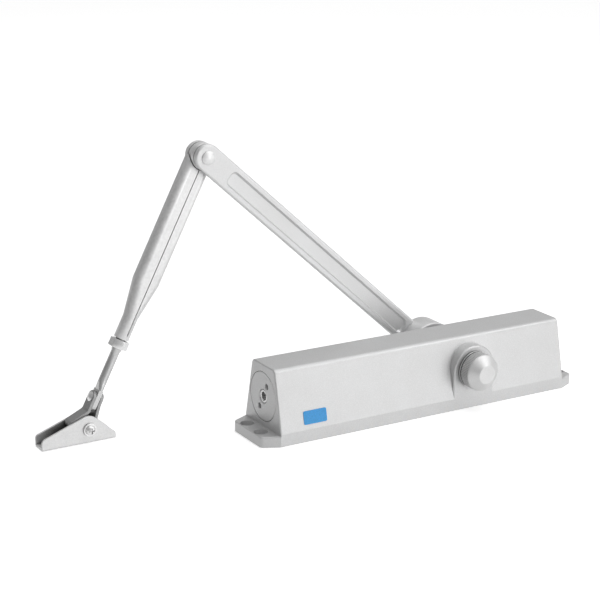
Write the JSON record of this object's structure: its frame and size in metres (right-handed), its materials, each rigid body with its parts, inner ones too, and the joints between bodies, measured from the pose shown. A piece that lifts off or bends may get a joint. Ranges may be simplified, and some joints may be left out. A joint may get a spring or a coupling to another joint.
{
  "type": "door closer",
  "caption": "Surface-mounted rack-and-pinion door closer: a tapered cast body, a main arm on its pinion, and a forearm of adjustable length with a shoe for the door frame.",
  "frame": {"origin": "centre of the four body screw holes, on the mounting face", "axes": "+X along the body from the spring end to the pinion end, +Y from the capped side to the arm side, +Z away from the door"},
  "size_m": [0.3364, 0.0887, 0.1679],
  "materials": {
    "silver_paint": "fine speckled silver powder coat",
    "arm_silver": "satin silver paint",
    "cap_silver": "satin silver",
    "zinc_bright": "bright zinc plate, satin",
    "zinc_pale": "smooth pale zinc plate",
    "screw_zinc": "zinc plated hardware",
    "link_steel": "dull plated strip",
    "rod_steel": "rolled and plated bar",
    "pinion_steel": "hardened and ground",
    "piston_iron": "machined",
    "spring_steel": "shot peened",
    "adjuster_steel": "zinc plated, turned",
    "valve_brass": "turned",
    "bearing_bronze": "sintered",
    "seal_rubber": "matt",
    "label_plain": "plain, without text"
  },
  "bodies": {
    "closer_body": {"body_casting": "silver_paint", "label_plate": "label_plain", "left_end_plug": "silver_paint", "right_end_plug": "silver_paint", "left_plug_seal": "seal_rubber", "right_plug_seal": "seal_rubber", "outer_spring": "spring_steel", "inner_spring": "spring_steel", "front_bearing": "bearing_bronze", "back_bearing": "bearing_bronze", "front_shaft_seal": "seal_rubber", "back_shaft_seal": "seal_rubber", "front_cover_ring": "zinc_pale", "back_cover_ring": "zinc_pale"},
    "spring_adjuster": {"adjuster_screw": "adjuster_steel"},
    "spring_seat": {"spring_seat": "piston_iron"},
    "sweep_valve": {"sweep_valve": "valve_brass"},
    "latch_valve": {"latch_valve": "valve_brass"},
    "piston": {"piston": "piston_iron", "check_valve": "valve_brass"},
    "pinion_and_arm": {"pinion_shaft": "pinion_steel", "pinion_cap": "cap_silver", "main_arm": "arm_silver", "arm_washer": "screw_zinc", "arm_screw": "screw_zinc", "elbow_rivet": "zinc_bright", "elbow_spacer": "zinc_bright"},
    "forearm": {"forearm": "zinc_bright"},
    "lock_nut": {"lock_nut": "screw_zinc"},
    "rod": {"threaded_rod": "rod_steel"},
    "link": {"link_strap": "link_steel", "link_bush": "link_steel", "link_rivet": "screw_zinc"},
    "shoe": {"shoe_bracket": "zinc_pale", "shoe_washer": "zinc_pale", "shoe_screw": "screw_zinc", "shoe_nut": "screw_zinc"}
  },
  "joints": [
    {"name": "pinion_turn", "type": "hinge", "parent": "closer_body", "child": "pinion_and_arm", "pos_m": [0.033, 0, 0.0245], "axis": [0, -1, 0], "range_deg": [0, 150], "stiffness_Nm_per_rad": 5, "springref_deg": -68.75},
    {"name": "piston_slide", "type": "slide", "parent": "closer_body", "child": "piston", "axis": [-1, 0, 0], "range_m": [0, 0.0197], "deforming": ["outer_spring", "inner_spring"]},
    {"name": "adjuster_turn", "type": "hinge", "parent": "closer_body", "child": "spring_adjuster", "pos_m": [-0.1025, 0, 0.0245], "axis": [1, 0, 0], "range_deg": [0, 3600]},
    {"name": "seat_slide", "type": "slide", "parent": "closer_body", "child": "spring_seat", "axis": [1, 0, 0], "range_m": [0, 0.01], "deforming": ["outer_spring", "inner_spring"]},
    {"name": "sweep_valve_turn", "type": "hinge", "parent": "closer_body", "child": "sweep_valve", "pos_m": [0.1025, -0.0155, 0.012], "axis": [1, 0, 0], "range_deg": [-180, 180]},
    {"name": "latch_valve_turn", "type": "hinge", "parent": "closer_body", "child": "latch_valve", "pos_m": [0.1025, 0.0155, 0.012], "axis": [1, 0, 0], "range_deg": [-180, 180]},
    {"name": "elbow_turn", "type": "hinge", "parent": "pinion_and_arm", "child": "forearm", "pos_m": [-0.11833, 0.0451, 0.15981], "axis": [0, 1, 0], "range_deg": [-60, 100]},
    {"name": "lock_nut_turn", "type": "hinge", "parent": "forearm", "child": "lock_nut", "pos_m": [-0.18781, 0.0451, 0.02462], "axis": [-0.4571, 0, -0.8894], "continuous": true},
    {"name": "rod_adjust", "type": "slide", "parent": "forearm", "child": "rod", "axis": [-0.4571, 0, -0.8894], "range_m": [-0.012, 0.02]},
    {"name": "link_swing", "type": "hinge", "parent": "rod", "child": "link", "pos_m": [-0.18781, 0.0451, 0.02462], "axis": [0.8894, 0, -0.4571], "range_deg": [-12, 12]},
    {"name": "shoe_turn", "type": "hinge", "parent": "link", "child": "shoe", "pos_m": [-0.19431, 0.0451, 0.0083], "axis": [0, 1, 0], "range_deg": [-45, 30]}
  ],
  "couplings": [
    {"joint": "piston_slide", "follows": "pinion_turn", "m_per_rad": 0.0075},
    {"joint": "adjuster_turn", "follows": "seat_slide", "rad_per_m": 6283.2}
  ]
}
